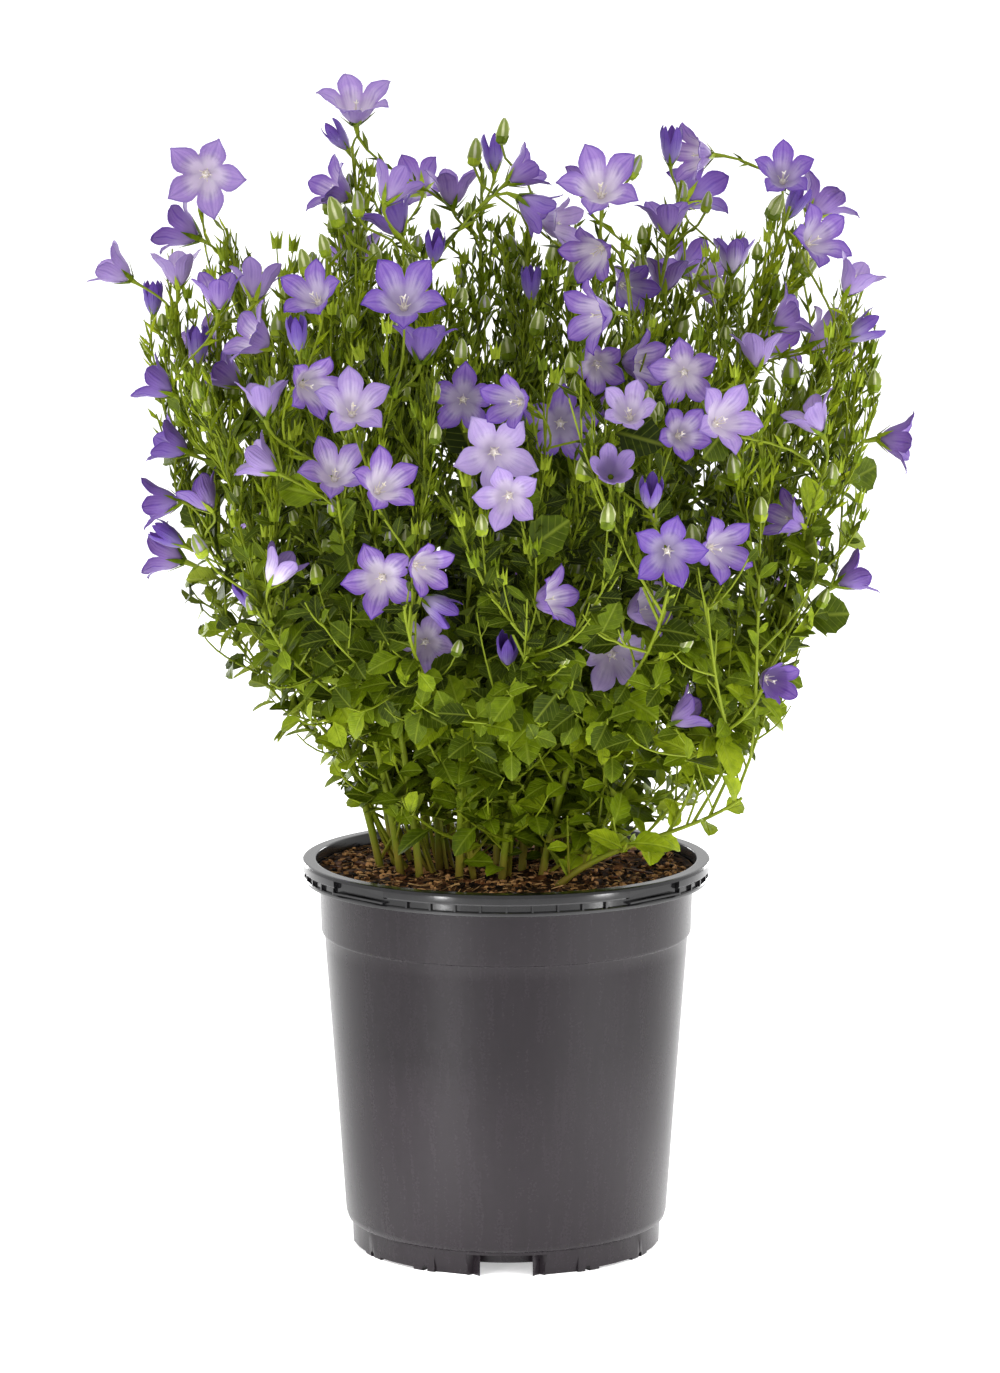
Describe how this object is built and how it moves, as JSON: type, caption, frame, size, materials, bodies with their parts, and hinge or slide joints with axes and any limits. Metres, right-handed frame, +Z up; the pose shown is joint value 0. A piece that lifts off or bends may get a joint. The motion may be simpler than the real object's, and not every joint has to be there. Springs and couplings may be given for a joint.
{
  "type": "potted bellflower",
  "caption": "Bushy bellflower in a black plastic nursery pot: upright leafy stems, toothed leaves, plump buds and violet star-shaped bells over brown potting soil.",
  "frame": {"origin": "on the pot axis, at the surface that the pot stands on", "axes": "+Z up along the stems, -Y towards the front of the plant, +X to the right of the front"},
  "size_m": [0.3751, 0.3598, 0.543],
  "materials": {
    "pot": "satin black moulded plastic, glossier at the rim",
    "soil": "loose brown peat and bark crumbs",
    "foliage": "soft satin leaf green",
    "bloom": "thin velvety violet petals, paler in the throat"
  },
  "bodies": {
    "root": {"pot": "pot", "soil": "soil", "leafy_stem_01": "foliage", "leafy_stem_02": "foliage", "leafy_stem_03": "foliage", "leafy_stem_04": "foliage", "leafy_stem_05": "foliage", "leafy_stem_06": "foliage", "leafy_stem_07": "foliage", "leafy_stem_08": "foliage", "leafy_stem_09": "foliage", "leafy_stem_10": "foliage", "leafy_stem_11": "foliage", "leafy_stem_12": "foliage", "leafy_stem_13": "foliage", "leafy_stem_14": "foliage", "leafy_stem_15": "foliage", "leafy_stem_16": "foliage", "leafy_stem_17": "foliage", "leafy_stem_18": "foliage", "leafy_stem_19": "foliage", "leafy_stem_20": "foliage", "leafy_stem_21": "foliage", "leafy_stem_22": "foliage", "flower_spray_01": "bloom", "flower_spray_02": "bloom", "flower_spray_03": "bloom", "flower_spray_04": "bloom", "flower_spray_05": "bloom", "flower_spray_06": "bloom", "flower_spray_07": "bloom", "flower_spray_08": "bloom", "flower_spray_09": "bloom", "flower_spray_10": "bloom", "flower_spray_11": "bloom", "flower_spray_12": "bloom", "flower_spray_13": "bloom", "flower_spray_14": "bloom", "flower_spray_15": "bloom", "flower_spray_16": "bloom", "flower_spray_17": "bloom", "flower_spray_18": "bloom", "flower_spray_19": "bloom", "flower_spray_20": "bloom", "flower_spray_21": "bloom", "flower_spray_22": "bloom", "flower_spray_23": "bloom", "flower_spray_24": "bloom", "flower_spray_25": "bloom", "flower_spray_26": "bloom", "flower_spray_27": "bloom", "flower_spray_28": "bloom", "flower_spray_29": "bloom", "flower_spray_30": "bloom", "flower_spray_31": "bloom", "flower_spray_32": "bloom", "flower_spray_33": "bloom"}
  },
  "joints": []
}
